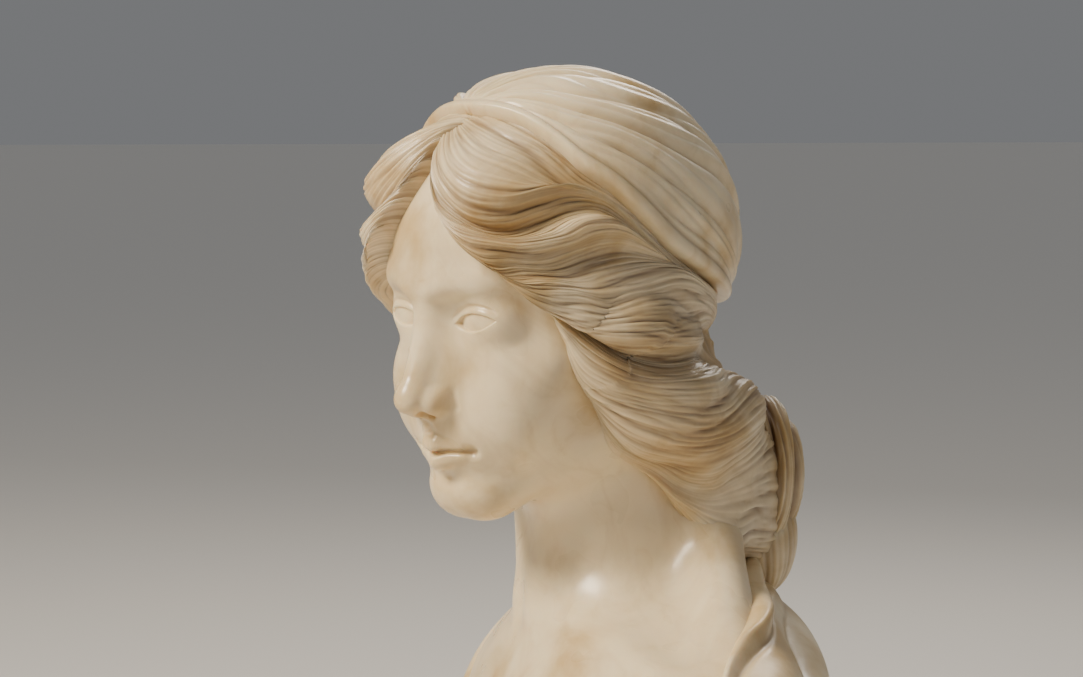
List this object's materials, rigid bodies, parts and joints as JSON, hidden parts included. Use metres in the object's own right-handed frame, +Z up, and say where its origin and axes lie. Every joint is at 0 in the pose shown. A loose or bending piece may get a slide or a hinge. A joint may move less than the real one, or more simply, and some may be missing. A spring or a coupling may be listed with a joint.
{
  "type": "marble bust",
  "caption": "Marble bust of a young woman in a headscarf, head bowed and turned, wavy hair in a knot at the nape, drapery off the shoulders, turning on a round socle with a square plinth.",
  "frame": {"origin": "centre of the underside of the base, on the axis that the bust turns about", "axes": "+Z up, -Y the way the chest faces, +X the subject's left, towards which the head is turned"},
  "size_m": [0.2977, 0.1928, 0.4905],
  "materials": {
    "flesh_marble": "polished",
    "hair_marble": "honed",
    "scarf_marble": "polished",
    "drapery_marble": "honed",
    "socle_marble": "polished",
    "brass": "satin",
    "steel": "satin",
    "lead": "matte",
    "felt": "matte"
  },
  "bodies": {
    "socle": {"base_felt": "felt", "plinth": "socle_marble", "socle_foot": "socle_marble", "socle_stem": "socle_marble", "socle_cap": "socle_marble", "socle_tube": "brass", "flange_nut": "brass", "tube_washer": "brass", "tube_nut": "brass", "bearing_ring": "brass"},
    "bust": {"drapery": "drapery_marble", "head_and_shoulders": "flesh_marble", "hair_left": "hair_marble", "hair_right": "hair_marble", "headscarf": "scarf_marble", "chignon": "hair_marble", "chignon_dowel": "brass", "bed_dowels": "brass", "pivot_pin": "steel", "pin_lead": "lead", "pin_washer": "steel", "pin_nut": "steel", "lock_nut": "steel"}
  },
  "joints": [
    {"name": "bust_turn", "type": "hinge", "parent": "socle", "child": "bust", "pos_m": [0, 0, 0], "axis": [0, 0, 1], "continuous": true}
  ]
}
